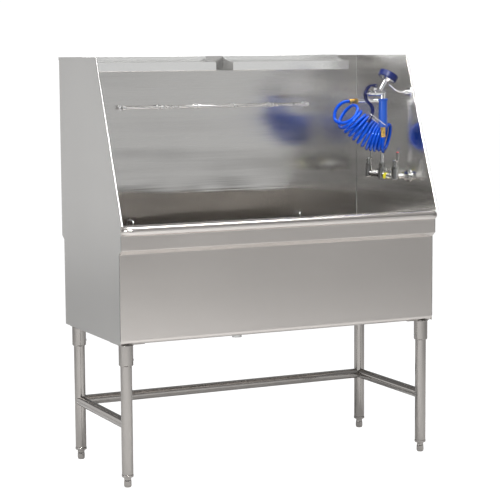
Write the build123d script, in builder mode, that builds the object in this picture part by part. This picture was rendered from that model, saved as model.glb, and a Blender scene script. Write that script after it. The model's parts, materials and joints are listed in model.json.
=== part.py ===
"""Raised stainless steel pet bathtub with faucet, coiled hose and hand sprayer.

Frame: millimetres, X to the user's right, Y to the back splash, Z up. The origin is
the centre of the bounding box, at the height of the surface the feet stand on.
"""

import os
from math import cos, radians, sin, tan

from build123d import *

# ------------------------------------------------------------------ driving dimensions
overall_height = 1524.0
outer_width = 1280.0
sheet = 1.5                     # stainless sheet
hem_reach = 2.0                 # how far a folded hem stands off a side panel

panel_x = outer_width / 2 - hem_reach     # outer face of each side panel
inner_half = panel_x - sheet              # inner face of each side panel

bottom_z = 515.0                # lower edge of the side panels
floor_z = 516.75                # mid plane of the tub floor sheet
front_y = -268.0                # outer face of the front wall
back_y = 300.0                  # outer face of the bowl's back wall
splash_y = 322.0                # outer face of the back splash
cove = 14.0                     # bend radius of the bowl's corners
step_low, step_high = 838.0, 852.0        # joggle at front apron and back splash
band_y = -287.0                 # face of the apron band
rim_top, rim_bottom = 938.0, 904.0
rim_front = -325.0
panel_top = 1522.0
slope_top_y = -68.0             # where the slanted edge meets the top edge
slope_low_y = -302.0            # where it meets the rim

leg_x, leg_front_y, leg_back_y = 606.0, -238.0, 243.0
leg_r, leg_wall = 20.65, 1.65
leg_low, leg_top = 47.0, 511.0
socket_r, socket_length = 26.0, 76.0
gusset_side, gusset_t, gusset_lap = 96.0, 3.0, 15.0
brace_r, brace_wall, brace_z = 19.05, 1.65, 226.0
foot_gap = 0.3

drain_x, drain_y = 0.0, 130.0
drain_r = 38.0
dish_r, dish_depth = 58.0, 4.0

bar_z, bar_y, bar_r, bar_half = 1328.0, 292.0, 4.75, 393.0
post_pitch = 157.2
loop_x, loop_top, loop_low, loop_reach, loop_r = 361.0, 894.0, 862.0, 30.0, 2.5

shelf_inner, shelf_outer = 36.0, 546.0
shelf_front, shelf_low, shelf_lip = 222.0, 1466.0, 1500.0
shelf_lift_gap = 0.4

faucet_x, faucet_y, faucet_z = 574.0, 6.0, 1056.0
valve_pitch = 203.2
valve_top = 1084.0
handle_z = 1106.3
riser_low, riser_r, riser_bend = faucet_z + 28, 7.0, 22.0
waterway_r, spindle_r = 7.0, 3.0
outlet_z, outlet_end, sleeve_end = 1345.0, 502.0, 464.0
hose_r = 6.35
hose_start = Vector(428, faucet_y, outlet_z)

sprayer_x, sprayer_y = 507.0, -118.0
valve_z = 1378.0                # axis of the sprayer's side valve
grip_low, grip_high, grip_r = 1248.0, 1357.0, 17.0
hose_end = Vector(sprayer_x, sprayer_y, 1210)
head_lean = 30.0                # degrees from vertical, towards the right panel
head_centre = Vector(529, sprayer_y, 1443)
head_r, head_depth, head_rim = 37.0, 25.0, 9.0
lever_pivot = Vector(sprayer_x - 36, sprayer_y, 1406)
lever_t, lever_width, lever_pin_r = 7.0, 16.0, 2.5
plunger_tip, plunger_r = sprayer_x - 72.4, 4.0
stem_r = 8.0                    # the sprayer's stem inside the grip sleeve
ring_pivot = Vector(sprayer_x + 1, sprayer_y, 1256)
ring_reach = Vector(sprayer_x - 62, sprayer_y, 1299)
ring_wire, ring_half, ring_inner = 1.5, 20.0, 13.5
hook_y, hook_z, hook_r = -100.0, 1379.0, 4.0
hook_bend, hook_tip = Vector(585, hook_y, hook_z), Vector(546, hook_y, hook_z + 30)

# the hose: its free ends, from the fittings, and the centre line of its coil
lead_route = [(0, 0, 0), (-24, 0, 0), (-45, 13, -20), (-55, 18, -46), (-50, -16, -74),
              (-22, -44, -76)]
tail_route = [(0, 0, 0), (0, 0, -24), (6, 13, -49), (22, 36, -60), (44, 62, -58)]
coil_axis = [(411, -4, 1302), (441, -20, 1260), (504, -39, 1210), (564, -66, 1204)]
coil_r = 55.0

running = 0.05                  # radial clearance of a turning or sliding fit
os.makedirs("parts", exist_ok=True)


# ------------------------------------------------------------------ helpers
def finish(builder, name):
    """Label the piece and write it as one STEP file."""
    builder.part.label = name
    export_step(builder.part, f"parts/{name}.step")


def rod_between(start, end, radius, mode=Mode.ADD):
    """A round rod from one point to another, added to the open part."""
    start, end = Vector(*start), Vector(*end)
    with BuildSketch(Plane(origin=start, z_dir=end - start)) as section:
        Circle(radius)
    extrude(section.sketch, amount=(end - start).length, mode=mode)


def hexagon_along(origin, direction, across_flats, length):
    """A hexagonal prism, added to the open part."""
    with BuildSketch(Plane(origin=origin, z_dir=direction)) as section:
        RegularPolygon(across_flats / 2, 6, major_radius=False)
    extrude(section.sketch, amount=length)


def corner_radii(points, share=0.45):
    """Arc radius at each inner point: a share of the shorter run over tan(half the turn)."""
    radii = []
    for before, here, after in zip(points, points[1:], points[2:]):
        run_in, run_out = here - before, after - here
        turn = radians(run_in.get_angle(run_out))
        radii.append(share * min(run_in.length, run_out.length) / tan(turn / 2))
    return radii


def tube_along(points, radius):
    """A round bar along straight runs joined by tangent arcs, added to the open part."""
    points = [Vector(*p) for p in points]
    with BuildLine() as route:
        FilletPolyline(*points, radius=corner_radii(points))
    with BuildSketch(Plane(origin=route.line @ 0, z_dir=route.line % 0)) as section:
        Circle(radius)
    sweep(section.sketch, path=route.line)


# ------------------------------------------------------------------ tub body
def make_tub_bowl():
    front_mid, back_mid = front_y + sheet / 2, back_y - sheet / 2
    dish_mid = floor_z - dish_depth
    with BuildPart() as tub_bowl:
        with BuildSketch(Plane.YZ):
            with BuildLine():
                FilletPolyline(
                    (front_mid, rim_top - sheet), (front_mid, floor_z),
                    (back_mid, floor_z), (back_mid, step_low), radius=cove)
            trace(line_width=sheet)
        extrude(amount=inner_half, both=True)
        with Locations((drain_x, drain_y, floor_z)):
            Cylinder(dish_r, 2 * dish_depth, mode=Mode.SUBTRACT)
        with BuildSketch(Plane.XZ.offset(-drain_y)):
            with BuildLine():
                Polyline((drain_x + dish_r + 1, floor_z), (drain_x + dish_r - 6, dish_mid),
                         (drain_x + drain_r, dish_mid))
            trace(line_width=sheet)
        revolve(axis=Axis((drain_x, drain_y, 0), (0, 0, 1)))
    finish(tub_bowl, "tub_bowl")


def make_front_rim():
    nose_r = (rim_top - rim_bottom) / 2 - sheet / 2
    nose_y = rim_front + (rim_top - rim_bottom) / 2
    low, high = rim_bottom + sheet / 2, rim_top - sheet / 2
    band_mid = band_y + sheet / 2
    corner_x = panel_x + hem_reach - (band_y - rim_front)
    with BuildPart() as front_rim:
        with BuildSketch(Plane.YZ):
            with BuildLine():
                FilletPolyline((front_y - sheet / 2, step_low - 2), (band_mid, step_high),
                               (band_mid, high), (front_y + sheet, high), radius=1.6)
            trace(line_width=sheet)
        extrude(amount=inner_half, both=True)
        with BuildSketch(Plane.YZ) as nose:
            with BuildLine():
                Line((band_y, low), (nose_y, low))
                ThreePointArc((nose_y, low), (nose_y - nose_r, low + nose_r), (nose_y, high))
                Line((nose_y, high), (band_y, high))
            trace(line_width=sheet)
        extrude(amount=corner_x, both=True)
        for side in (1, -1):
            with BuildSketch(Plane.YZ.offset(side * corner_x)):
                add(nose.sketch_local)
            axis = Axis((side * corner_x, band_y, 0), (0, 0, 1))
            revolve(axis=axis, revolution_arc=side * 90)
        with Locations([(side * corner_x * 0.9, nose_y, rim_bottom) for side in (1, -1)]):
            Cylinder(3, 10, mode=Mode.SUBTRACT)      # weep holes under the rolled edge
    finish(front_rim, "front_rim")


def make_back_splash():
    lap_mid, splash_mid = back_y + sheet / 2, splash_y - sheet / 2
    hem_depth = 12.0
    with BuildPart() as back_splash:
        with BuildSketch(Plane.YZ):
            with BuildLine():
                FilletPolyline((lap_mid, step_low - 12), (lap_mid, step_low),
                               (splash_mid, step_high), (splash_mid, panel_top), radius=2)
            trace(line_width=sheet)
            with Locations((splash_y + sheet / 2, panel_top - hem_depth / 2)):
                Rectangle(sheet, hem_depth)
        extrude(amount=inner_half, both=True)
        posts = [(x, splash_mid, bar_z) for x in post_places()]
        feet = [(side * loop_x, splash_mid, z) for side in (1, -1) for z in (loop_low, loop_top)]
        with Locations([Location(p, (90, 0, 0)) for p in posts + feet]):
            Cylinder(2.6, 3 * sheet, mode=Mode.SUBTRACT)
    finish(back_splash, "back_splash")


def make_side_panel(side, name):
    outline = [(front_y, bottom_z), (front_y, step_low), (band_y, step_high),
               (band_y, rim_top), (slope_low_y, rim_top), (slope_top_y, panel_top),
               (splash_y, panel_top), (splash_y, step_high), (back_y, step_low),
               (back_y, bottom_z)]
    low = Vector(side * (panel_x - 1), slope_low_y, rim_top)
    high = Vector(side * (panel_x - 1), slope_top_y, panel_top)
    top_hem, top_hem_t = 11.0, 2.0
    with BuildPart() as side_panel:
        with BuildSketch(Plane.YZ.offset(side * (panel_x - sheet / 2))):
            with BuildLine():
                Polyline(*outline, close=True)
            make_face()
        extrude(amount=sheet / 2, both=True)
        rod_between(low, high, 3.0)                  # rolled safety edge
        hem_length = splash_y - slope_top_y
        with Locations((side * (panel_x + top_hem_t / 2 - 0.5), slope_top_y + hem_length / 2,
                        panel_top - top_hem / 2)):
            Box(top_hem_t + 1, hem_length, top_hem)
        if side > 0:
            holes = [Location((panel_x, y, faucet_z), (0, 90, 0)) for y in valve_places()]
            with Locations(holes):
                Cylinder(11, 10, mode=Mode.SUBTRACT)
    finish(side_panel, name)


# ------------------------------------------------------------------ stand
def leg_places():
    return {"front_left": (-leg_x, leg_front_y), "front_right": (leg_x, leg_front_y),
            "back_left": (-leg_x, leg_back_y), "back_right": (leg_x, leg_back_y)}


def make_sockets():
    """Welded gusset plates and leg sockets, each with a set screw on its inner side."""
    plate_top = floor_z - sheet / 2
    top = plate_top - gusset_t
    low = top - socket_length
    plates, sockets, screws = [], [], []
    for x, y in leg_places().values():
        side, end = (1 if x > 0 else -1), (1 if y > 0 else -1)
        plates.append((side * (inner_half - gusset_side / 2 - 1),
                       y - end * (gusset_side / 2 - gusset_lap), plate_top - gusset_t / 2))
        sockets.append((x, y, low + socket_length / 2))
        screws.append(Location((x - side * (leg_r + 4.2), y, low + 20), (0, 90, 0)))
    with BuildPart() as gusset_plates:
        with Locations(plates):
            Box(gusset_side, gusset_side, gusset_t)
    finish(gusset_plates, "gusset_plates")
    with BuildPart() as leg_sockets:
        with Locations(sockets):
            Cylinder(socket_r, socket_length)
        chamfer(leg_sockets.edges().filter_by_position(Axis.Z, low - 1, low + 1), 4)
        with Locations(sockets):
            Cylinder(leg_r + 0.1, socket_length, mode=Mode.SUBTRACT)
        with Locations(screws):
            Cylinder(4.1, 7, mode=Mode.SUBTRACT)
    finish(leg_sockets, "leg_sockets")
    with BuildPart() as socket_screws:
        with Locations(screws):
            Cylinder(4, 7)
    finish(socket_screws, "socket_screws")


def make_leg(name, x, y):
    middle = (leg_low + leg_top) / 2
    with BuildPart() as leg:
        with Locations((x, y, middle)):
            Cylinder(leg_r, leg_top - leg_low)
            Cylinder(leg_r - leg_wall, leg_top - leg_low, mode=Mode.SUBTRACT)
    finish(leg, f"{name}_leg")


def make_brace(name, start, end):
    """A tube between two legs, its ends coped to the legs and to any brace it meets."""
    ends = [(p[0], p[1], brace_z) for p in (start, end)]
    with BuildPart() as brace:
        rod_between(start, end, brace_r)
        rod_between(start, end, brace_r - brace_wall, mode=Mode.SUBTRACT)
        with Locations(ends):
            Cylinder(leg_r, 4 * brace_r, mode=Mode.SUBTRACT)
        if name == "rear_brace":
            with Locations([Location(p, (90, 0, 0)) for p in ends]):
                Cylinder(brace_r, 4 * brace_r, mode=Mode.SUBTRACT)
    finish(brace, name)


def make_feet():
    """Bullet feet that screw in and out of a plug in the bottom of each leg."""
    collar_r, collar_low, plug_top = 21.5, 37.0, 78.0
    stem_r, stem_top, body_top = 8.0, 104.0, collar_low - foot_gap
    places = [(x, y, 0) for x, y in leg_places().values()]
    with BuildPart() as leg_inserts:
        with Locations([(x, y, (collar_low + leg_low) / 2) for x, y, z in places]):
            Cylinder(collar_r, leg_low - collar_low)
        fillet(leg_inserts.edges().filter_by(GeomType.CIRCLE), 2.5)
        with Locations([(x, y, (leg_low + plug_top) / 2) for x, y, z in places]):
            Cylinder(leg_r - leg_wall - running, plug_top - leg_low)
        with Locations(places):
            Cylinder(stem_r + running, 2 * plug_top, mode=Mode.SUBTRACT)
    finish(leg_inserts, "leg_inserts")
    for name, (x, y) in leg_places().items():
        with BuildPart() as foot:
            with BuildSketch(Plane.XZ):
                with BuildLine():
                    base = Line((0, 0), (10.5, 0))
                    bulge = Spline(base @ 1, (13.6, 14), (12.2, 27),
                                   tangents=((1, 0.8), (-0.3, 1)))
                    Polyline(bulge @ 1, (stem_r, 27), (stem_r, stem_top), (0, stem_top), (0, 0))
                make_face()
            revolve(axis=Axis.Z)
            hexagon_along((0, 0, 26.5), (0, 0, 1), 24, body_top - 26.5)
        foot.part.position = (x, y, 0)
        finish(foot, f"{name}_foot")


# ------------------------------------------------------------------ drain
def make_drain():
    seat = floor_z - dish_depth + sheet / 2
    under = seat - sheet
    axis = Axis((drain_x, drain_y, 0), (0, 0, 1))

    def turned(name, outline):
        """A piece turned about the drain axis from its half section (radius, height)."""
        with BuildPart() as piece:
            with BuildSketch(Plane.XZ.offset(-drain_y)):
                with BuildLine():
                    Polyline(*[(drain_x + r, z) for r, z in outline], close=True)
                make_face()
            revolve(axis=axis)
        return piece

    barrel, flange_r, gasket_r = drain_r - 0.4, 45.0, 50.0
    throat_r, throat_bore, shoulder = 24.0, 19.3, seat - 30
    body_low = seat - 54
    body = turned("drain_body", [
        (flange_r, seat + 2), (flange_r, seat), (barrel, seat), (barrel, shoulder),
        (throat_r, shoulder - 10), (throat_r, body_low), (throat_bore, body_low),
        (throat_bore, shoulder - 9), (barrel - 4, shoulder + 4), (barrel - 4, seat - 6),
        (barrel - 1.5, seat + 2)])
    finish(body, "drain_body")
    gasket = turned("drain_gasket", [(barrel + 0.1, under - 3), (barrel + 0.1, under),
                                     (gasket_r, under), (gasket_r, under - 3)])
    finish(gasket, "drain_gasket")
    with BuildPart() as drain_locknut:
        hexagon_along((drain_x, drain_y, under - 13), (0, 0, 1), 94, 10)
        with Locations((drain_x, drain_y, under - 8)):
            Cylinder(barrel + 0.1, 20, mode=Mode.SUBTRACT)
    finish(drain_locknut, "drain_locknut")
    nut_low, nut_floor, nut_height = body_low - 6, 3.0, 18.0
    tube_r, neck_r, bead_r, tube_bore = 19.05, 18.6, 23.5, 16.5
    up = (Align.CENTER, Align.CENTER, Align.MIN)
    with BuildPart() as drain_coupling_nut:
        hexagon_along((drain_x, drain_y, nut_low), (0, 0, 1), 58, nut_height)
        with Locations((drain_x, drain_y, nut_low + nut_floor)):
            Cylinder(throat_r + 0.1, nut_height, align=up, mode=Mode.SUBTRACT)
        with Locations((drain_x, drain_y, nut_low)):
            Cylinder(tube_r + 0.15, 2 * nut_floor, mode=Mode.SUBTRACT)
    finish(drain_coupling_nut, "drain_coupling_nut")
    tailpiece = turned("drain_tailpiece", [
        (tube_bore, nut_low - 14), (tube_r, nut_low - 14), (tube_r, nut_low - 1),
        (neck_r, nut_low - 1), (neck_r, nut_low + nut_floor), (bead_r, nut_low + nut_floor),
        (bead_r, body_low - 0.1), (tube_bore, body_low - 0.1)])
    finish(tailpiece, "drain_tailpiece")
    basket_r, basket_low, basket_top = 31.0, seat - 24, seat - 0.5
    hole_r, knob_height = 2.75, 30.0
    with BuildPart() as drain_basket:
        with Locations((drain_x, drain_y, basket_low)):
            Cylinder(basket_r, basket_top - basket_low, align=up)
        offset(amount=-1.2, openings=drain_basket.faces().sort_by(Axis.Z)[-1])
        with Locations((drain_x, drain_y, basket_low)):
            for row_r, count in ((20, 10), (11, 6)):
                with PolarLocations(row_r, count):
                    Cylinder(hole_r, 8, mode=Mode.SUBTRACT)
            Cylinder(3, knob_height, align=up)
        with Locations((drain_x, drain_y, basket_low + knob_height)):
            Sphere(6)
    finish(drain_basket, "drain_basket")


# ------------------------------------------------------------------ back wall fittings
def post_places():
    return [(i - 2.5) * post_pitch for i in range(6)]


def loop_heights():
    return (loop_low, loop_top)


def make_tether_bar():
    wall, socket_half, socket_outer, post_r, screw_r = splash_y - sheet, 6.0, 8.0, 4.5, 2.5
    bar_end = bar_half + socket_half
    with BuildPart() as tether_bar:
        rod_between((-bar_end, bar_y, bar_z), (bar_end, bar_y, bar_z), bar_r)
        fillet(tether_bar.edges().filter_by(GeomType.CIRCLE), 1.5)
    finish(tether_bar, "tether_bar")
    with BuildPart() as bar_standoffs:
        for x in post_places():
            rod_between((x, wall, bar_z), (x, wall - 3, bar_z), 11)
            rod_between((x, wall, bar_z), (x, bar_y, bar_z), post_r)
            rod_between((x - socket_half, bar_y, bar_z), (x + socket_half, bar_y, bar_z),
                        socket_outer)
            rod_between((x, wall, bar_z), (x, splash_y + 5, bar_z), screw_r)
        rod_between((-outer_width, bar_y, bar_z), (outer_width, bar_y, bar_z), bar_r + running,
                    mode=Mode.SUBTRACT)
    finish(bar_standoffs, "bar_standoffs")


def make_tether_loops():
    wall = splash_y - sheet
    with BuildPart() as tether_loops:
        for x in (-loop_x, loop_x):
            with BuildLine() as route:
                FilletPolyline((x, splash_y + 5, loop_low), (x, wall - loop_reach, loop_low),
                               (x, wall - loop_reach, loop_top), (x, splash_y + 5, loop_top),
                               radius=9)
            with BuildSketch(Plane(origin=route.line @ 0, z_dir=route.line % 0)):
                Circle(loop_r)
            sweep(path=route.line)
            for z in loop_heights():
                rod_between((x, wall, z), (x, wall - 2.5, z), 7.5)
    finish(tether_loops, "tether_loops")
    with BuildPart() as rear_nuts:
        places = [(x, z) for x in (-loop_x, loop_x) for z in loop_heights()]
        places += [(x, bar_z) for x in post_places()]
        for x, z in places:
            hexagon_along((x, splash_y, z), (0, 1, 0), 9, 4)
        for x, z in places:
            rod_between((x, splash_y - 1, z), (x, splash_y + 6, z), 2.55, mode=Mode.SUBTRACT)
    finish(rear_nuts, "rear_nuts")


def make_shelf(side, name):
    """A tray that hooks over the top of the back splash and lifts off."""
    plate_y = splash_y - sheet - 0.8 - sheet / 2
    hook_y, hook_top = splash_y + sheet + 0.8 + sheet / 2, panel_top + shelf_lift_gap + sheet / 2
    low, length = shelf_low + sheet / 2, shelf_outer - shelf_inner
    lip_y = shelf_front + sheet / 2
    start = side * shelf_inner if side > 0 else -shelf_outer
    with BuildPart() as shelf:
        with BuildSketch(Plane.YZ.offset(start)):
            with BuildLine():
                FilletPolyline((hook_y, hook_top - 18), (hook_y, hook_top), (plate_y, hook_top),
                               (plate_y, low), (lip_y, low), (lip_y, shelf_lip), radius=1.6)
            trace(line_width=sheet)
        extrude(amount=length)
        top_edges = shelf.edges().filter_by(Axis.Y).filter_by_position(
            Axis.Z, shelf_lip - 0.1, shelf_lip + 0.1)
        fillet(top_edges, 7)
        for x in (start, start + length - sheet):
            with BuildSketch(Plane.YZ.offset(x)):
                with BuildLine():
                    Polyline((plate_y, low), (lip_y, low), (lip_y, shelf_lip - 8),
                             (plate_y, panel_top - 6), close=True)
                make_face()
            extrude(amount=sheet)
    finish(shelf, name)


# ------------------------------------------------------------------ faucet
def valve_places():
    return (faucet_y - valve_pitch / 2, faucet_y + valve_pitch / 2)


def make_faucet():
    """The two-valve body, its wall flanges and the shanks and nuts behind the panel."""
    cap, bar_radius, hub_r = 14.0, 9.0, 15.0
    union_x, union_end = faucet_x + 38, faucet_x + 52       # nuts that hold the flanges
    with BuildPart() as faucet_body:
        low_y, high_y = valve_places()
        rod_between((faucet_x, low_y, faucet_z), (faucet_x, high_y, faucet_z), bar_radius)
        rod_between((faucet_x, faucet_y, faucet_z - 14), (faucet_x, faucet_y, riser_low), hub_r)
        hexagon_along((faucet_x, faucet_y, faucet_z - 18), (0, 0, 1), 20, 6)
        for y in valve_places():
            rod_between((faucet_x, y, faucet_z - cap), (faucet_x, y, valve_top), cap)
            rod_between((faucet_x, y, faucet_z), (union_x + 2, y, faucet_z), 10)
            hexagon_along((union_x, y, faucet_z), (1, 0, 0), 28, union_end - union_x)
            rod_between((union_x - 8, y, faucet_z), (union_end, y, faucet_z), waterway_r,
                        mode=Mode.SUBTRACT)
        bottoms = faucet_body.edges().filter_by(GeomType.CIRCLE).filter_by_position(
            Axis.Z, faucet_z - cap - 0.1, faucet_z - cap + 0.1)
        fillet(bottoms.filter_by_position(Axis.Y, high_y - 1, high_y + 1)
               + bottoms.filter_by_position(Axis.Y, low_y - 1, low_y + 1), 4)
    finish(faucet_body, "faucet_body")

    wall, flange_r, boss_r = inner_half, 26.0, 17.0
    shank_r, thread_r = 10.5, 9.5
    with BuildPart() as wall_flanges:
        for y in valve_places():
            rod_between((wall - 4, y, faucet_z), (wall, y, faucet_z), flange_r)
        fillet(wall_flanges.edges().filter_by_position(Axis.X, wall - 4.1, wall - 3.9), 3)
        for y in valve_places():
            rod_between((wall - 10, y, faucet_z), (wall, y, faucet_z), boss_r)
            rod_between((wall - 12, y, faucet_z), (wall + 1, y, faucet_z), shank_r + 0.1,
                        mode=Mode.SUBTRACT)
    finish(wall_flanges, "wall_flanges")

    nut_face, thread_start, shank_end = panel_x + 6.5, panel_x + 8, panel_x + 16
    with BuildPart() as supply_shanks:
        for y in valve_places():
            rod_between((union_end, y, faucet_z), (nut_face, y, faucet_z), shank_r)
            rod_between((nut_face, y, faucet_z), (thread_start, y, faucet_z), thread_r - 0.6)
            rod_between((thread_start, y, faucet_z), (shank_end, y, faucet_z), thread_r)
            rod_between((union_x, y, faucet_z), (shank_end + 1, y, faucet_z), waterway_r - 0.1,
                        mode=Mode.SUBTRACT)
    finish(supply_shanks, "supply_shanks")

    with BuildPart() as shank_locknuts:
        for y in valve_places():
            hexagon_along((panel_x, y, faucet_z), (1, 0, 0), 30, 6)
            rod_between((panel_x - 1, y, faucet_z), (panel_x + 8, y, faucet_z), shank_r + running,
                        mode=Mode.SUBTRACT)
    finish(shank_locknuts, "shank_locknuts")

    bonnet_top, collar_top = valve_top + 9, valve_top + 13
    with BuildPart() as valve_bonnets:
        for y in valve_places():
            hexagon_along((faucet_x, y, valve_top), (0, 0, 1), 26, bonnet_top - valve_top)
            rod_between((faucet_x, y, bonnet_top), (faucet_x, y, collar_top), 12)
            rod_between((faucet_x, y, collar_top), (faucet_x, y, handle_z - foot_gap), 7)
            rod_between((faucet_x, y, valve_top + 4), (faucet_x, y, handle_z),
                        spindle_r + running, mode=Mode.SUBTRACT)
    finish(valve_bonnets, "valve_bonnets")


def make_handle(name, y, color):
    """A lever handle on its stem, with an index cap at the tip of the lever."""
    tip = Vector(faucet_x, y - 20, handle_z + 38)
    hub_r, hub_top, arm_r = 10.0, handle_z + 12, 4.5
    with BuildPart() as handle:
        rod_between((faucet_x, y, handle_z - 16), (faucet_x, y, handle_z + 2), spindle_r)
        rod_between((faucet_x, y, handle_z), (faucet_x, y, hub_top), hub_r)
        fillet(handle.edges().filter_by_position(Axis.Z, hub_top - 0.1, hub_top + 0.1), 3)
        tube_along([(faucet_x, y, handle_z + 6), (faucet_x, y - 18, handle_z + 9), tip], arm_r)
        with Locations(tip):
            Cylinder(6, 8)
    finish(handle, name)
    with BuildPart() as index_cap:
        with Locations(tip + Vector(0, 0, 4)):
            Cylinder(5, 3, align=(Align.CENTER, Align.CENTER, Align.MIN))
        fillet(index_cap.edges().sort_by(Axis.Z)[-1], 1.2)
    finish(index_cap, color)


def make_riser():
    with BuildPart() as riser_tube:
        with BuildLine() as route:
            FilletPolyline((faucet_x, faucet_y, riser_low), (faucet_x, faucet_y, outlet_z),
                           (outlet_end, faucet_y, outlet_z), radius=riser_bend)
        with BuildSketch(Plane(origin=route.line @ 0, z_dir=route.line % 0)):
            Circle(riser_r)
            Circle(riser_r - 1.5, mode=Mode.SUBTRACT)
        sweep(path=route.line)
    finish(riser_tube, "riser_tube")
    with BuildPart() as riser_nut:
        nut_top = riser_low + 14
        hexagon_along((faucet_x, faucet_y, riser_low), (0, 0, 1), 24, nut_top - riser_low)
        rod_between((faucet_x, faucet_y, nut_top), (faucet_x, faucet_y, nut_top + 6), 10)
        rod_between((faucet_x, faucet_y, riser_low), (faucet_x, faucet_y, riser_low + 24),
                    riser_r + running, mode=Mode.SUBTRACT)
    finish(riser_nut, "riser_nut")
    left, end = Vector(-1, 0, 0), Vector(outlet_end, faucet_y, outlet_z)
    with BuildPart() as outlet_nut:
        hexagon_along(end + Vector(14, 0, 0), left, 21, 14)
        rod_between(end + Vector(16, 0, 0), end - Vector(2, 0, 0), riser_r + running,
                    mode=Mode.SUBTRACT)
    finish(outlet_nut, "outlet_nut")
    with BuildPart() as outlet_sleeve:
        rod_between(end, (sleeve_end, faucet_y, outlet_z), 8)
        fillet(outlet_sleeve.edges(), 1)
    finish(outlet_sleeve, "outlet_sleeve")
    with BuildPart() as hose_start_fitting:
        nut_length, ferrule_r = 18.0, 8.5
        hexagon_along((sleeve_end, faucet_y, outlet_z), left, 19, nut_length)
        rod_between((sleeve_end - nut_length, faucet_y, outlet_z), hose_start, ferrule_r)
        fillet(hose_start_fitting.edges().filter_by(GeomType.CIRCLE), 0.8)
    finish(hose_start_fitting, "hose_start_fitting")


# ------------------------------------------------------------------ hose
def make_hose():
    """The hose's straight ends and the outer shape of its coil."""
    lead = [hose_start + Vector(*p) for p in lead_route]
    tail = [hose_end + Vector(*p) for p in tail_route]
    axis = [Vector(*p) for p in coil_axis]
    with BuildPart() as hose_lead:
        tube_along(lead, hose_r)
    finish(hose_lead, "hose_lead")
    with BuildPart() as hose_tail:
        tube_along(tail, hose_r)
    finish(hose_tail, "hose_tail")
    with BuildPart() as hose_coil:
        tube_along(axis, coil_r)
    finish(hose_coil, "hose_coil")
    for name, route in (("lead", lead), ("tail", tail), ("coil axis", axis)):
        print(name, "arc radii", [round(r, 1) for r in corner_radii(route)])


# ------------------------------------------------------------------ sprayer
def make_hook():
    wall, plate_t = inner_half, 5.0
    with BuildPart() as hook_plate:
        rod_between((wall, hook_y, hook_z), (wall - plate_t, hook_y, hook_z), 20)
        fillet(hook_plate.edges().sort_by(Axis.X)[0], 3)
        rod_between((wall - 26, hook_y, hook_z), (wall - plate_t, hook_y, hook_z), 9)
        rod_between((wall - 27, hook_y, hook_z), (wall + 1, hook_y, hook_z), hook_r + running,
                    mode=Mode.SUBTRACT)
    finish(hook_plate, "hook_plate")
    with BuildPart() as hook_rod:
        tube_along([(wall, hook_y, hook_z), hook_bend, hook_tip], hook_r)
        with Locations(hook_tip):
            Sphere(hook_r)
    finish(hook_rod, "hook_rod")


def head_plane():
    """The back face of the spray head's rubber ring, its normal along the head's axis."""
    lean = radians(head_lean)
    along = Vector(sin(lean), 0, cos(lean))
    back = head_centre - along * (head_depth / 2)
    return Plane(origin=back, x_dir=(cos(lean), 0, -sin(lean)), z_dir=along)


def make_sprayer_body():
    """The cast body: side valve, elbow, neck, head cup and the lever's lug."""
    face, y, z = head_plane(), sprayer_y, valve_z
    elbow_r, barrel_r, neck_r, cup_r = 12.5, 9.5, 8.0, head_r - head_rim
    cap_length, cap_flats, flare_r, flare_length = 9.0, 16.0, 20.0, 9.0
    valve_end, lug_t, lug_r = sprayer_x - 58, 6.0, 6.5
    neck_foot = Vector(sprayer_x - 19, y, z)
    with BuildPart() as sprayer_body:
        rod_between((valve_end, y, z), (sprayer_x, y, z), barrel_r)
        rod_between((sprayer_x - 38, y, z), (sprayer_x, y, z), elbow_r - 1)
        hexagon_along((valve_end + 1, y, z), (-1, 0, 0), cap_flats, cap_length)
        with Locations((sprayer_x, y, z)):
            Sphere(elbow_r)
        rod_between((sprayer_x, y, grip_high), (sprayer_x, y, z), elbow_r)
        rod_between((sprayer_x, y, grip_low), (sprayer_x, y, grip_high), stem_r)
        rod_between(neck_foot, face.origin + face.z_dir * 2, neck_r)
        with BuildSketch(face):
            Circle(cup_r)
        extrude(amount=4)
        with BuildSketch(face.offset(-flare_length)):
            Circle(neck_r + 1.5)
        with BuildSketch(face):
            Circle(flare_r)
        loft()
        with Locations((lever_pivot.X, y, (lever_pivot.Z + z) / 2)):
            Box(2 * lug_r, lug_t, lever_pivot.Z - z)
        with Locations(Location(lever_pivot, (90, 0, 0))):
            Cylinder(lug_r, lug_t)
            Cylinder(lever_pin_r, lug_t, mode=Mode.SUBTRACT)
        rod_between((valve_end - 20, y, z), (valve_end + 12, y, z), plunger_r + running,
                    mode=Mode.SUBTRACT)
    finish(sprayer_body, "sprayer_body")


def make_head():
    """The rubber ring round the head and the perforated spray face inside it."""
    face, cup_r = head_plane(), head_r - head_rim
    hole_r, hole_rows = 1.2, ((21, 20), (13, 12), (6, 6))      # row radius, holes in the row
    with BuildPart() as bumper_ring:
        with BuildSketch(face):
            Circle(head_r)
            Circle(cup_r, mode=Mode.SUBTRACT)
        extrude(amount=head_depth)
        fillet(bumper_ring.edges().filter_by(GeomType.CIRCLE).sort_by(SortBy.RADIUS)[-2:], 4)
    finish(bumper_ring, "bumper_ring")
    with BuildPart() as spray_face:
        with BuildSketch(face.offset(head_depth / 2)):
            Circle(cup_r)
            for row_r, count in hole_rows:
                with PolarLocations(row_r, count):
                    Circle(hole_r, mode=Mode.SUBTRACT)
        extrude(amount=4)
    finish(spray_face, "spray_face")


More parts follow.
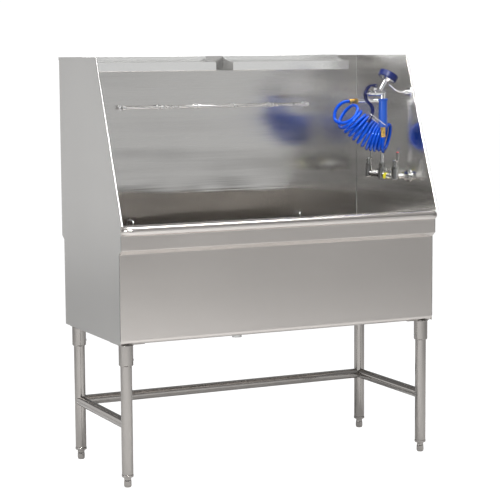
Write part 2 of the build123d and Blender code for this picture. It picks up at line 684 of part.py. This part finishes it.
def make_grip():
    """The sleeve over the sprayer's stem, with two blind holes for the hold-down ring."""
    bore = stem_r + running
    collar_r, collar_h = 19.0, 6.0
    place = ring_pivot - Vector(sprayer_x, sprayer_y, 0)
    hole_start, hole_end = ring_inner - 0.5, grip_r + 5
    with BuildPart() as sprayer_grip:
        with BuildSketch(Plane.XZ):
            with BuildLine():
                Polyline((bore, grip_low), (grip_r - 2, grip_low), (grip_r, grip_low + 6),
                         (grip_r - 0.5, grip_low + 50), (grip_r - 1.2, grip_high - 9),
                         (collar_r, grip_high - collar_h), (collar_r, grip_high),
                         (bore, grip_high), close=True)
            make_face()
        revolve(axis=Axis.Z)
        for side in (1, -1):
            hole = Vector(0, side, 0)
            rod_between(place + hole * hole_start, place + hole * hole_end, ring_wire + 0.1,
                        mode=Mode.SUBTRACT)
    sprayer_grip.part.position = (sprayer_x, sprayer_y, 0)
    finish(sprayer_grip, "sprayer_grip")


def make_lever():
    """The squeeze lever on its pin, the plunger it pushes and the hold-down ring."""
    fork_gap, eye_r = 6.6, 7.5
    shape = [(-52, 1408), (-66, 1399), (-77, 1378), (-73, 1354), (-55, 1335), (-45, 1317),
             (-49, 1298), (-58, 1281), (-65.5, 1268)]
    with BuildPart() as squeeze_lever:
        with BuildSketch(Plane.XZ.offset(-sprayer_y)):
            with BuildLine():
                Spline((lever_pivot.X, lever_pivot.Z), *[(sprayer_x + x, z) for x, z in shape])
            trace(line_width=lever_t)
            with Locations((lever_pivot.X, lever_pivot.Z)):
                Circle(eye_r)
        extrude(amount=lever_width / 2, both=True)
        with Locations((lever_pivot.X + 2, sprayer_y, lever_pivot.Z)):
            Box(26, fork_gap, 24, mode=Mode.SUBTRACT)
        with Locations(Location(lever_pivot, (90, 0, 0))):
            Cylinder(lever_pin_r, 2 * lever_width, mode=Mode.SUBTRACT)
    finish(squeeze_lever, "squeeze_lever")

    with BuildPart() as lever_pin:
        reach = Vector(0, lever_width / 2 + 2, 0)
        rod_between(lever_pivot - reach, lever_pivot + reach, lever_pin_r - running)
    finish(lever_pin, "lever_pin")

    with BuildPart() as valve_plunger:
        rod_between((plunger_tip, sprayer_y, valve_z), (plunger_tip + 19, sprayer_y, valve_z),
                    plunger_r)
        fillet(valve_plunger.edges().sort_by(Axis.X)[0], 1.5)
    finish(valve_plunger, "valve_plunger")

    with BuildPart() as hold_ring:
        side, inner = Vector(0, ring_half, 0), Vector(0, ring_inner, 0)
        tube_along([ring_pivot - inner, ring_pivot - side, ring_reach - side, ring_reach + side,
                    ring_pivot + side, ring_pivot + inner], ring_wire)
    finish(hold_ring, "hold_ring")


def make_end_fitting():
    nut_flats, nut_length, ferrule_r = 18.0, 15.0, 9.0
    nut_end = Vector(sprayer_x, sprayer_y, grip_low - nut_length)
    with BuildPart() as hose_end_fitting:
        hexagon_along((sprayer_x, sprayer_y, grip_low), (0, 0, -1), nut_flats, nut_length)
        rod_between(nut_end, hose_end, ferrule_r)
        fillet(hose_end_fitting.edges().filter_by(GeomType.CIRCLE).sort_by(Axis.Z)[0], 0.8)
    finish(hose_end_fitting, "hose_end_fitting")


# ------------------------------------------------------------------ build everything
make_tub_bowl()
make_front_rim()
make_back_splash()
make_side_panel(-1, "left_side_panel")
make_side_panel(1, "right_side_panel")
make_sockets()
for leg_name, (at_x, at_y) in leg_places().items():
    make_leg(leg_name, at_x, at_y)
make_brace("rear_brace", (-leg_x, leg_back_y, brace_z), (leg_x, leg_back_y, brace_z))
make_brace("left_brace", (-leg_x, leg_front_y, brace_z), (-leg_x, leg_back_y, brace_z))
make_brace("right_brace", (leg_x, leg_front_y, brace_z), (leg_x, leg_back_y, brace_z))
make_feet()
make_drain()
make_tether_bar()
make_tether_loops()
make_shelf(-1, "left_shelf")
make_shelf(1, "right_shelf")
make_faucet()
make_handle("hot_handle", valve_places()[0], "hot_index")
make_handle("cold_handle", valve_places()[1], "cold_index")
make_riser()
make_hose()
make_hook()
make_sprayer_body()
make_head()
make_grip()
make_lever()
make_end_fitting()
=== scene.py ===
"""Raised stainless steel pet bathtub: camera, studio, materials, hose and small details.

Metres, in the CAD frame: X to the user's right, Y to the back splash, Z up.
"""
import json
import math

import bmesh
import bpy
from mathutils import Matrix, Vector


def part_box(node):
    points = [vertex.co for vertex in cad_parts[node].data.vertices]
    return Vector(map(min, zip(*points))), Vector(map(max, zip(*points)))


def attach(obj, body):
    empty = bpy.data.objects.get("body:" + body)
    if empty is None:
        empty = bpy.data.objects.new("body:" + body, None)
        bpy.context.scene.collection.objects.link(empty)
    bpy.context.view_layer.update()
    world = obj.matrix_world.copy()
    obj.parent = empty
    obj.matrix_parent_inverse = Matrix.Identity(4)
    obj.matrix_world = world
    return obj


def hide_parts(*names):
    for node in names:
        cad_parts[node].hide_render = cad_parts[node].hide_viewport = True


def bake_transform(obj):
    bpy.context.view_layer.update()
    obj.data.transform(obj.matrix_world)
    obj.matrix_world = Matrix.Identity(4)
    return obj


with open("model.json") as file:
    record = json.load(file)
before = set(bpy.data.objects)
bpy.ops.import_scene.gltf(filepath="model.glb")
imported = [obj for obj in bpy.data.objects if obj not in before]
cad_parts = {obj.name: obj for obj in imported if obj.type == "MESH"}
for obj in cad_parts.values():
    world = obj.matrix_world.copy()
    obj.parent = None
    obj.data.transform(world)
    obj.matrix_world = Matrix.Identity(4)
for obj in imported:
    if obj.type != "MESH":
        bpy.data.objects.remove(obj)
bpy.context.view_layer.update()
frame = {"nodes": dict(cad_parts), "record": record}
nodes = frame["nodes"]
mm = 0.001


def at(x, y, z):
    """A point given in millimetres."""
    return Vector((x, y, z)) * mm


# ------------------------------------------------------------------ camera
def make_camera():
    """A long lens at head height, from the left, looking slightly down."""
    lens_mm, sensor_mm, far_limit = 124.05, 36, 200
    place = Vector((-2.80317, -5.84425, 1.54581))
    yaw, pitch, roll = math.radians(25.60), math.radians(6.47), math.radians(-0.37)
    forward = Vector((math.sin(yaw) * math.cos(pitch), math.cos(yaw) * math.cos(pitch),
                      -math.sin(pitch)))
    level = Vector((math.cos(yaw), -math.sin(yaw), 0))
    upright = level.cross(forward)
    right = math.cos(roll) * level + math.sin(roll) * upright
    up = -math.sin(roll) * level + math.cos(roll) * upright
    data = bpy.data.cameras.new("camera")
    data.lens, data.sensor_width, data.clip_end = lens_mm, sensor_mm, far_limit
    camera = bpy.data.objects.new("camera", data)
    camera.matrix_world = (Matrix.Translation(place)
                           @ Matrix((right, up, -forward)).transposed().to_4x4())
    bpy.context.scene.collection.objects.link(camera)
    bpy.context.scene.camera = camera


make_camera()


# ------------------------------------------------------------------ node materials
class Shader:
    """A node material with one Principled shader and the few nodes this script needs."""

    def __init__(self, name, **values):
        self.material = bpy.data.materials.new(name)
        self.material.use_nodes = True
        self.tree = self.material.node_tree
        self.bsdf = self.tree.nodes["Principled BSDF"]
        for key, value in values.items():
            self.bsdf.inputs[key.replace("_", " ")].default_value = value

    def new(self, kind, **inputs):
        node = self.tree.nodes.new(kind)
        for key, value in inputs.items():
            node.inputs[key.replace("_", " ")].default_value = value
        return node

    def link(self, source, target):
        self.tree.links.new(source, target)

    def noise(self, stretch, detail=2.0, roughness=0.55):
        """Noise in the object's own coordinates, with stretch features a metre on each axis."""
        place = self.new("ShaderNodeTexCoord")
        mapping = self.new("ShaderNodeMapping", Scale=stretch)
        texture = self.new("ShaderNodeTexNoise", Scale=1.0, Detail=detail, Roughness=roughness)
        self.link(place.outputs["Object"], mapping.inputs["Vector"])
        self.link(mapping.outputs["Vector"], texture.inputs["Vector"])
        return texture.outputs["Fac"]

    def height(self):
        """Height above the floor, in metres."""
        place = self.new("ShaderNodeTexCoord")
        split = self.new("ShaderNodeSeparateXYZ")
        self.link(place.outputs["Object"], split.inputs[0])
        return split.outputs["Z"]

    def remap(self, source, low, high, start=0.3, end=0.7):
        """Map source from start..end onto low..high; most noise lies within the default range."""
        node = self.new("ShaderNodeMapRange")
        for key, value in (("From Min", start), ("From Max", end), ("To Min", low),
                           ("To Max", high)):
            node.inputs[key].default_value = value
        self.link(source, node.inputs["Value"])
        return node.outputs["Result"]

    def add(self, first, second):
        node = self.new("ShaderNodeMath")
        node.operation = "ADD"
        self.link(first, node.inputs[0])
        self.link(second, node.inputs[1])
        return node.outputs[0]

    def blend_colors(self, factor, low, high):
        node = self.new("ShaderNodeMix")
        node.data_type = "RGBA"
        node.inputs["A"].default_value = (*low, 1)
        node.inputs["B"].default_value = (*high, 1)
        self.link(factor, node.inputs["Factor"])
        return node.outputs["Result"]

    def set(self, key, source):
        self.link(source, self.bsdf.inputs[key])

    def bump(self, *layers):
        """Stack bump layers, each (height, distance in metres, strength)."""
        normal = None
        for height, distance, strength in layers:
            node = self.new("ShaderNodeBump", Strength=strength, Distance=distance)
            self.link(height, node.inputs["Height"])
            if normal:
                self.link(normal, node.inputs["Normal"])
            normal = node.outputs["Normal"]
        self.set("Normal", normal)


def srgb(r, g, b):
    """A display colour, 0..255 a channel, as linear light."""
    def linear(c):
        c /= 255
        return c / 12.92 if c <= 0.04045 else ((c + 0.055) / 1.055) ** 2.4
    return (linear(r), linear(g), linear(b))


def scaled(color, factor):
    return tuple(min(1.0, c * factor) for c in color)


def stretch_for(axis, along, across):
    """Features a metre on X, Y and Z, for lines that run along one axis."""
    return tuple(along if i == axis else across for i in range(3))


BRUSHING, STREAKS, BANDS = (6, 900), (0.9, 42), (0.9, 8)    # features a metre: along, across
SHEET_WAVES = (2.1, 2.1, 2.1)
WIDE = (0.25, 0.75)                                         # nearly the whole span of a noise


def brushed_steel(name, color, rough, grain, wave=0.0032, streak=0.05, anisotropic=0.3,
                  turn=0.0, ripple=0.00004, mottle=0.035, bands=0.0, polished_below=None):
    """Number 4 finish: fine grain along one axis, long streaks and slightly wavy sheet.

    streak is the change of colour, and mottle the change of roughness, from streak to streak.
    wave, bands and ripple are bump heights in metres: unevenness of the sheet, long shallow
    bands and the relief of the streaks. polished_below is (height where it is fully polished,
    height where the polish ends, fall in roughness).
    """
    shader = Shader(name, Metallic=1.0, Anisotropic=anisotropic, Anisotropic_Rotation=turn)
    fine = shader.noise(stretch_for(grain, *BRUSHING), detail=1.0)
    streaks = shader.noise(stretch_for(grain, *STREAKS), detail=3.0, roughness=0.7)
    clouds = shader.noise(SHEET_WAVES)
    tone = shader.add(shader.remap(streaks, 0.0, 0.7, *WIDE), shader.remap(fine, 0.0, 0.3, *WIDE))
    shader.set("Base Color", shader.blend_colors(tone, scaled(color, 1 - streak),
                                                 scaled(color, 1 + streak)))
    base = shader.remap(streaks, rough - mottle, rough + mottle, *WIDE)
    roughness = shader.add(base, shader.remap(clouds, -0.02, 0.03))
    if polished_below:
        start, end, gain = polished_below
        roughness = shader.add(roughness, shader.remap(shader.height(), -gain, 0.0, start, end))
    shader.set("Roughness", roughness)
    layers = [(clouds, wave, 0.5), (streaks, ripple, 0.5), (fine, 0.00003, 0.4)]
    if bands:
        layers.append((shader.noise(stretch_for(grain, *BANDS), detail=1.0), bands, 1.0))
    shader.bump(*layers)
    return shader.material


def tube_steel(name, color, rough):
    """Drawn tube and small machined parts: short scratches in no strong direction."""
    shader = Shader(name, Metallic=1.0)
    scratches = shader.noise((160, 160, 22), detail=3.0)
    clouds = shader.noise((9, 9, 9), detail=2.0)
    shader.set("Base Color", shader.blend_colors(scratches, scaled(color, 0.93),
                                                 scaled(color, 1.07)))
    shader.set("Roughness", shader.add(shader.remap(clouds, rough - 0.04, rough + 0.05),
                                       shader.remap(scratches, -0.03, 0.04)))
    shader.bump((scratches, 0.00004, 0.5))
    return shader.material


def polished(name, color, rough, wipe_marks_and_painted_reflection=0.05):
    """Plate or machined metal with faint water spots and wiping marks. The colour darkens along
    the wipes: lightly on the chrome and brass, as wiping marks; strongly on the faucet, where the
    dark mottle is painted reflection.
    """
    shader = Shader(name, Metallic=1.0)
    spots = shader.noise((140, 140, 140), detail=3.0)
    wipes_and_painted_reflection = shader.noise((60, 60, 16), detail=2.0)
    # darkening of the colour along the wipes: wiping marks, and painted reflection where it is
    # strong
    shader.set("Base Color", shader.blend_colors(wipes_and_painted_reflection, scaled(color, 1 - wipe_marks_and_painted_reflection), color))
    shader.set("Roughness", shader.add(shader.remap(spots, rough, rough + 0.07, 0.45, 0.75),
                                       shader.remap(wipes_and_painted_reflection, 0.0, 0.03)))
    shader.bump((wipes_and_painted_reflection, 0.0004, 0.5))
    return shader.material


def moulded(name, color, rough, coat=0.0, grain=700.0, depth=0.00004, tint=0.12,
            specular=0.5, gloss_tint=(1, 1, 1, 1)):
    """Moulded plastic or rubber: fine texture, slight mottling, scuffs that dull the gloss."""
    shader = Shader(name, Coat_Weight=coat, Coat_Roughness=0.05, Specular_IOR_Level=specular,
                    Specular_Tint=gloss_tint)
    texture = shader.noise((grain, grain, grain), detail=2.0)
    mottle = shader.noise((38, 38, 38), detail=3.0)
    scuffs = shader.noise((240, 240, 40), detail=4.0, roughness=0.75)
    shader.set("Base Color", shader.blend_colors(mottle, scaled(color, 1 - tint),
                                                 scaled(color, 1 + tint)))
    shader.set("Roughness", shader.add(shader.remap(mottle, rough - 0.03, rough + 0.05),
                                       shader.remap(scuffs, 0.0, 0.12, 0.55, 0.8)))
    shader.bump((texture, depth, 0.5), (mottle, 0.0001, 0.2))
    return shader.material


X, Y, Z = range(3)
panel, warm_panel = (0.60, 0.592, 0.578), (0.68, 0.644, 0.614)
materials = {
    "back": brushed_steel("back_wall_steel", panel, 0.19, X, wave=0.0056, streak=0.03,
                          anisotropic=0.75, ripple=0.0003, bands=0.0025,
                          polished_below=(0.99, 1.08, 0.14)),
    "bowl": brushed_steel("bowl_steel", scaled(warm_panel, 0.93), 0.222, X, wave=0.0016,
                          streak=0.012, ripple=0.00002, mottle=0.012),
    "rim": brushed_steel("rim_steel", warm_panel, 0.22, X, wave=0.0016, streak=0.015,
                         ripple=0.00002, mottle=0.012),
    "left": brushed_steel("left_panel_steel", scaled(panel, 0.94), 0.33, Z, streak=0.012,
                          mottle=0.02),
    # painted light: the right panel's copy of the sheet steel is 1.52 times lighter than the
    # other panels, to lift the shade that falls on it
    "right": brushed_steel("right_panel_steel_lightened", scaled(panel, 1.52), 0.20, Y, wave=0.0096,
                           anisotropic=0.7, turn=0.25, ripple=0.0006),
    "stand": tube_steel("stand_steel", (0.38, 0.361, 0.343), 0.12),
    "bar": tube_steel("bar_steel", (0.72, 0.72, 0.72), 0.30),
    # painted shade: the weld beads are made dark to stand in for the shade in the seam gaps
    "weld": tube_steel("weld_steel_painted_shade", (0.22, 0.22, 0.215), 0.45),
    "screw": tube_steel("screw_steel", (0.50, 0.50, 0.49), 0.25),
    "shelf": brushed_steel("shelf_steel", (0.88, 0.88, 0.87), 0.22, X, streak=0.03, mottle=0.015),
    "chrome": polished("chrome_plate", (0.86, 0.86, 0.87), 0.04),
    # painted reflection: the faucet's colour is darkened to 0.35 in patches along the wipes,
    # standing in for dark reflections in its chrome
    "faucet": polished("faucet_plate_painted_reflection", (0.70, 0.70, 0.69), 0.04, wipe_marks_and_painted_reflection=0.65),
    "drain": tube_steel("drain_steel", (0.56, 0.56, 0.55), 0.18),
    "brass": polished("machined_brass", (0.80, 0.54, 0.17), 0.16, wipe_marks_and_painted_reflection=0.18),
    "gasket": moulded("gasket_rubber", srgb(24, 24, 24), 0.7),
    "hose": moulded("hose_polyurethane", srgb(0, 62, 176), 0.05, grain=260.0,
                    depth=0.00003, tint=0.10, specular=0.8, gloss_tint=(0.25, 0.5, 1, 1)),
    "grip": moulded("grip_sleeve", srgb(14, 70, 160), 0.34, coat=0.2, specular=0.5),
    "navy_rubber": moulded("navy_rubber", srgb(24, 34, 84), 0.34, specular=0.35),
    "navy_lever": moulded("navy_dip_coating", srgb(18, 22, 66), 0.26, coat=0.2, specular=0.3),
    "index_red": moulded("index_red", srgb(200, 30, 42), 0.25, coat=0.5),
    "index_blue": moulded("index_blue", srgb(40, 84, 190), 0.25, coat=0.5),
    "tag": moulded("tag_card", srgb(214, 206, 30), 0.6, grain=1500.0, depth=0.00002),
}
finish_of_slot = {
    "panel_steel": "bowl", "stand_steel": "stand", "screw_steel": "screw",
    "shelf_steel": "shelf", "chrome": "chrome", "drain_steel": "drain", "brass": "brass",
    "gasket_rubber": "gasket", "hose_blue": "hose", "grip_blue": "grip",
    "navy_rubber": "navy_rubber", "navy_lever": "navy_lever", "index_red": "index_red",
    "index_blue": "index_blue",
}
finish_of_node = {
    "back_splash": "back", "front_rim": "rim", "left_side_panel": "left",
    "right_side_panel": "right", "hold_ring": "chrome", "tether_bar": "bar",
    "bar_standoffs": "bar",
}
for node in ("faucet_body", "valve_bonnets", "hot_handle", "cold_handle", "wall_flanges",
             "riser_nut"):
    finish_of_node[node] = "faucet"
for subpart in frame["record"]["subparts"]:
    node = subpart["node"]
    finish = finish_of_node.get(node) or finish_of_slot[subpart["material_slot"]]
    mesh = nodes[node].data
    mesh.materials.clear()
    mesh.materials.append(materials[finish])


# ------------------------------------------------------------------ mesh helpers
def add_object(name, mesh, finish, body=None):
    piece = bpy.data.objects.new(name, mesh)
    bpy.context.scene.collection.objects.link(piece)
    mesh.materials.clear()
    mesh.materials.append(materials[finish])
    if body:
        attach(piece, body)
    return piece


def finished_mesh(name, work, smooth=True):
    mesh = bpy.data.meshes.new(name)
    work.to_mesh(mesh)
    work.free()
    for face in mesh.polygons:
        face.use_smooth = smooth
    return mesh


def spline_points(points, resolution):
    """Points along the NURBS spline of order 3 that has these control points."""
    curve = bpy.data.curves.new("route", "CURVE")
    curve.dimensions, curve.resolution_u = "3D", resolution
    spline = curve.splines.new("NURBS")
    spline.points.add(len(points) - 1)
    for control, point in zip(spline.points, points):
        control.co = (*point, 1)
    spline.order_u, spline.use_endpoint_u = 3, True
    holder = bpy.data.objects.new("route", curve)
    mesh = bpy.data.meshes.new_from_object(holder)
    path = [v.co.copy() for v in mesh.vertices]
    bpy.data.objects.remove(holder)
    bpy.data.meshes.remove(mesh)
    bpy.data.curves.remove(curve)
    return path


def tube_mesh(name, path, radius, sides, closed=False):
    """A tube along a path, capped, or joined end to end when closed.

    radius is a number or a function of the point's index.
    """
    work, rings = bmesh.new(), []
    tangents = []
    for i, point in enumerate(path):
        before = path[i - 1] if i or closed else point
        after = path[(i + 1) % len(path)] if i + 1 < len(path) or closed else point
        tangents.append((after - before).normalized())
    side = tangents[0].orthogonal().normalized()
    for i, (point, tangent) in enumerate(zip(path, tangents)):
        side = (side - tangent * side.dot(tangent)).normalized()
        other = tangent.cross(side)
        r = radius(i) if callable(radius) else radius
        turn = [2 * math.pi * k / sides for k in range(sides)]
        rings.append([work.verts.new(point + r * (side * math.cos(a) + other * math.sin(a)))
                      for a in turn])
    pairs = list(zip(rings, rings[1:])) + ([(rings[-1], rings[0])] if closed else [])
    for low, high in pairs:
        for k in range(sides):
            n = (k + 1) % sides
            work.faces.new((low[k], low[n], high[n], high[k]))
    if not closed:
        work.faces.new(rings[0][::-1])
        work.faces.new(rings[-1])
    bmesh.ops.recalc_face_normals(work, faces=work.faces)
    return finished_mesh(name, work)


def lathe_mesh(name, origin, axis, outline, sides=40):
    """A turned piece: outline is (distance along the axis, radius) in metres, a closed loop."""
    axis = Vector(axis).normalized()
    side = axis.orthogonal().normalized()
    other = axis.cross(side)
    work, rings = bmesh.new(), []
    for k in range(sides):
        a = 2 * math.pi * k / sides
        out = side * math.cos(a) + other * math.sin(a)
        rings.append([work.verts.new(origin + axis * d + out * r) for d, r in outline])
    for k, ring in enumerate(rings):
        after = rings[(k + 1) % sides]
        for i in range(len(outline)):
            n = (i + 1) % len(outline)
            work.faces.new((ring[i], ring[n], after[n], after[i]))
    bmesh.ops.recalc_face_normals(work, faces=work.faces)
    return finished_mesh(name, work, smooth=False)


# ------------------------------------------------------------------ hose
hose_r = 6.35 * mm
hose_start, hose_end = at(428, 6, 1345), at(507, -118, 1210)
lead_points = [(0, 0, 0), (-24, 0, 0), (-45, 13, -20), (-55, 18, -46)]
tail_points = [(22, 36, -60), (6, 13, -49), (0, 0, -24), (0, 0, 0)]
# the coil, as stations along it: turn, centre in mm, direction of its axis, radius in mm
coil_stations = [
    (0.5, (411, -4, 1299), (0.62, 0.32, -0.70), 51),
    (1.0, (413, -6, 1294), (0.74, 0.13, -0.66), 48),
    (1.5, (420, -11, 1281), (0.72, -0.08, -0.69), 50),
    (2.5, (438, -18, 1263), (0.60, -0.33, -0.72), 51),
    (5.0, (471, -29, 1234), (0.69, -0.43, -0.58), 52),
    (7.5, (504, -39, 1210), (0.74, -0.54, -0.39), 53),
    (9.5, (531, -48, 1204), (0.72, -0.61, -0.34), 54),
    (11.5, (556, -67, 1206), (0.71, -0.66, -0.26), 52),
]
first_turn, last_turn, points_per_turn = 0.375, 11.5, 16
steps_per_point, hose_sides = 8, 20


def coil_point(turn):
    """A point of the coil: its turns ride down a leaning axis, each a little different."""
    last = len(coil_stations) - 1
    after = next((i for i in range(1, last) if coil_stations[i][0] >= turn), last)
    low, high = coil_stations[after - 1], coil_stations[after]
    t = (turn - low[0]) / (high[0] - low[0])
    centre = Vector(low[1]).lerp(Vector(high[1]), t)
    normal = Vector(low[2]).lerp(Vector(high[2]), t).normalized()
    radius = low[3] + (high[3] - low[3]) * t
    level = Vector((0, 0, 1)).cross(normal).normalized()
    upright = normal.cross(level)
    angle = math.pi / 2 - 2 * math.pi * turn
    return (centre + radius * (math.cos(angle) * level + math.sin(angle) * upright)) * mm


def make_hose():
    """The whole hose as one tube, in place of the three plain solids that stand for it."""
    turns = [first_turn + i / points_per_turn
             for i in range(int((last_turn - first_turn) * points_per_turn) + 1)]
    points = [hose_start + at(*p) for p in lead_points]
    points += [coil_point(turn) for turn in turns]
    points += [hose_end + at(*p) for p in tail_points]
    path = spline_points(points, steps_per_point)
    mesh = tube_mesh("recoil_hose", path, hose_r, hose_sides)
    hose = add_object("recoil_hose", mesh, "hose")
    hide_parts("hose_lead", "hose_coil", "hose_tail")
    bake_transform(hose)


make_hose()


# ------------------------------------------------------------------ small details
def ribbed_ferrule(name, start, end, radius, ribs, body):
    """The crimped ribs round a hose fitting's ferrule."""
    axis = end - start
    inset, root, skin, crest = 0.2 * mm, radius - 0.4 * mm, radius + 0.1 * mm, radius + 0.8 * mm
    step, outline = axis.length / ribs, [(inset, root)]
    for i in range(ribs):
        for share, height in ((0.15, skin), (0.3, crest), (0.7, crest), (0.85, skin)):
            outline.append(((i + share) * step, height))
    outline.append((axis.length - inset, root))
    mesh = lathe_mesh(name, start, axis, outline)
    return add_object(name, mesh, "brass", body)


ribbed_ferrule("start_ferrule_ribs", at(445, 6, 1345), at(430, 6, 1345), 8.5 * mm, 3, "tub")
ribbed_ferrule("end_ferrule_ribs", at(507, -118, 1232), at(507, -118, 1212), 9.0 * mm, 4,
               "sprayer")


points_per_ripple, bead_sides = 4, 8


def rippled(radius, depth):
    """The radius of a weld bead at each point of its path."""
    return lambda i: radius * (1 + depth * math.cos(2 * math.pi * i / points_per_ripple))


def weld_bead(name, start, end, radius, pitch=0.0035):
    """A rippled weld bead along a straight seam, pitch metres from ripple to ripple."""
    count = max(2 * points_per_ripple,
                int((end - start).length / pitch * points_per_ripple))
    path = [start.lerp(end, i / count) for i in range(count + 1)]
    mesh = tube_mesh(name, path, rippled(radius, 0.18), bead_sides)
    return add_object(name, mesh, "weld", "tub")


inner_x, seam_x = 635.9, 637.8          # a side panel's inside corners, its front corners
side_welds = [                          # name, x, (y, z) of each end, radius of the bead
    ("corner_weld", inner_x, (320.2, 856), (320.2, 1519), 1.3),
    ("front_seam", seam_x, (-268.2, 532), (-268.2, 836), 1.1),
    ("apron_seam", seam_x, (-287.2, 853), (-287.2, 903), 1.1),
    ("floor_weld", inner_x, (-250, 518.2), (284, 518.2), 1.3),
]
for side, word in ((-1, "left"), (1, "right")):
    for weld, x, low_end, high_end, bead_r in side_welds:
        weld_bead(f"{word}_{weld}", at(side * x, *low_end), at(side * x, *high_end), bead_r * mm)


def ring_weld(name, centre, radius, bead, count=120):
    """A rippled weld bead round a tube."""
    path = [centre + radius * Vector((math.cos(a), math.sin(a), 0))
            for a in (2 * math.pi * i / count for i in range(count))]
    mesh = tube_mesh(name, path, rippled(bead, 0.2), bead_sides, closed=True)
    return add_object(name, mesh, "stand", "tub")


socket_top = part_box("leg_sockets")[1].z / mm
leg_x, leg_front_y, leg_back_y = 606, -238, 243
socket_r, socket_bead, bead_sink = 26.2, 1.6, 1.0
for side, word in ((-1, "left"), (1, "right")):
    for y, end in ((leg_front_y, "front"), (leg_back_y, "back")):
        ring_weld(f"{word}_{end}_socket_weld", at(side * leg_x, y, socket_top - bead_sink),
                  socket_r * mm, socket_bead * mm)


def make_tag():
    """A blank card tag folded over the faucet's crossbar."""
    bar_x, bar_z, bar_r = 574, 1056, 9.4
    y_low, y_high, hang, bend, thick, curl = -40, -20, 12.5, 4, 0.4, 0.6
    steps, columns = 14, 8
    left, right = bar_x - bar_r, bar_x + bar_r
    outline = [(left - 1.2, bar_z - hang), (left - 0.2, bar_z - bend)]
    outline += [(bar_x - bar_r * math.cos(a), bar_z + bar_r * math.sin(a))
                for a in (math.pi * i / steps for i in range(steps + 1))]
    outline += [(right + 0.4, bar_z - bend), (right - 0.6, bar_z - hang)]
    work, rows = bmesh.new(), []
    for k in range(columns + 1):
        share = k / columns
        y = y_low + (y_high - y_low) * share
        bulge = curl * math.sin(share * math.pi)
        rows.append([work.verts.new(at(x - (bulge if z < bar_z else 0), y, z))
                     for x, z in outline])
    for low, high in zip(rows, rows[1:]):
        for a, b, c, d in zip(low, low[1:], high[1:], high):
            work.faces.new((a, b, c, d))
    tag = add_object("blank_tag", finished_mesh("blank_tag", work), "tag", "tub")
    thicken = tag.modifiers.new("thickness", "SOLIDIFY")
    thicken.thickness, thicken.offset = thick * mm, 1.0


make_tag()


# ------------------------------------------------------------------ studio
def make_floor():
    """A wide pale floor, kept white where the camera looks straight at it."""
    half, glow_strength, glow_share = 30.0, 1.34, 0.72
    work = bmesh.new()
    corners = [work.verts.new((x, y, 0)) for x, y in
               ((-half, -half), (half, -half), (half, half), (-half, half))]
    work.faces.new(corners)
    mesh = finished_mesh("floor", work, smooth=False)
    shader = Shader("floor_paper", Roughness=0.9, Specular_IOR_Level=0.1)
    fibres = shader.noise((30, 30, 30), detail=4.0)
    shader.set("Base Color", shader.blend_colors(fibres, (0.66, 0.66, 0.66), (0.70, 0.70, 0.70)))
    glow = shader.new("ShaderNodeEmission", Color=(1, 1, 1, 1), Strength=glow_strength)
    path = shader.new("ShaderNodeLightPath")
    share = shader.new("ShaderNodeMath")
    share.operation = "MULTIPLY"
    share.inputs[1].default_value = glow_share
    mix = shader.new("ShaderNodeMixShader")
    output = shader.tree.nodes["Material Output"]
    shader.link(path.outputs["Is Camera Ray"], share.inputs[0])
    shader.link(share.outputs[0], mix.inputs["Fac"])
    shader.link(shader.bsdf.outputs[0], mix.inputs[1])
    shader.link(glow.outputs[0], mix.inputs[2])
    shader.link(mix.outputs[0], output.inputs["Surface"])
    floor = bpy.data.objects.new("floor", mesh)
    mesh.materials.append(shader.material)
    bpy.context.scene.collection.objects.link(floor)


def make_world():
    """White to the camera; to everything else a soft grey room, lighter overhead.

    horizon, middle and top are (how far up the sky, grey).
    """
    white_strength, horizon, middle, top = 1.05, (0.0, 0.22), (0.3, 0.20), (0.9, 0.45)
    world = bpy.data.worlds.new("studio")
    bpy.context.scene.world = world
    world.use_nodes = True
    tree = world.node_tree
    room = tree.nodes["Background"]
    white = tree.nodes.new("ShaderNodeBackground")
    white.inputs["Color"].default_value = (1, 1, 1, 1)
    white.inputs["Strength"].default_value = white_strength
    place = tree.nodes.new("ShaderNodeTexCoord")
    split = tree.nodes.new("ShaderNodeSeparateXYZ")
    ramp = tree.nodes.new("ShaderNodeValToRGB")
    stops = ramp.color_ramp.elements
    for stop, (position, grey) in zip(stops, (horizon, top)):
        stop.position, stop.color = position, (grey, grey, grey, 1)
    stops.new(middle[0]).color = (middle[1], middle[1], middle[1], 1)
    path = tree.nodes.new("ShaderNodeLightPath")
    mix = tree.nodes.new("ShaderNodeMixShader")
    tree.links.new(place.outputs["Generated"], split.inputs[0])
    tree.links.new(split.outputs["Z"], ramp.inputs["Fac"])
    tree.links.new(ramp.outputs["Color"], room.inputs["Color"])
    tree.links.new(path.outputs["Is Camera Ray"], mix.inputs["Fac"])
    tree.links.new(room.outputs[0], mix.inputs[1])
    tree.links.new(white.outputs[0], mix.inputs[2])
    tree.links.new(mix.outputs[0], tree.nodes["World Output"].inputs["Surface"])


def softbox(name, place, target, width, height, power):
    """A rectangular light of power watts at place, turned to face target."""
    data = bpy.data.lights.new(name, "AREA")
    data.shape, data.size, data.size_y, data.energy = "RECTANGLE", width, height, power
    light = bpy.data.objects.new(name, data)
    light.location = place
    aim = Vector(target) - Vector(place)
    light.rotation_euler = aim.to_track_quat("-Z", "Y").to_euler()
    light.visible_camera = False
    bpy.context.scene.collection.objects.link(light)


make_floor()
make_world()
# name, place, target, width and height in metres, watts
softbox("overhead", (0.0, -0.2, 3.3), (0, -0.1, 0), 2.6, 1.2, 72)
softbox("left_side", (-4.4, -1.2, 1.9), (0, 0, 1.0), 1.2, 1.8, 55)
softbox("back_left", (-3.9, 5.4, 1.0), (-0.6, 0, 1.0), 3.6, 2.6, 22)
softbox("front_wall", (4.8, -8.6, 1.5), (4.0, 0, 1.2), 7.0, 2.6, 28)
softbox("key", (-2.0, -3.8, 3.7), (0.5, 0, 1.2), 1.8, 0.28, 250)
bpy.context.scene.view_settings.view_transform = "Standard"
bpy.context.scene.view_settings.look = "None"
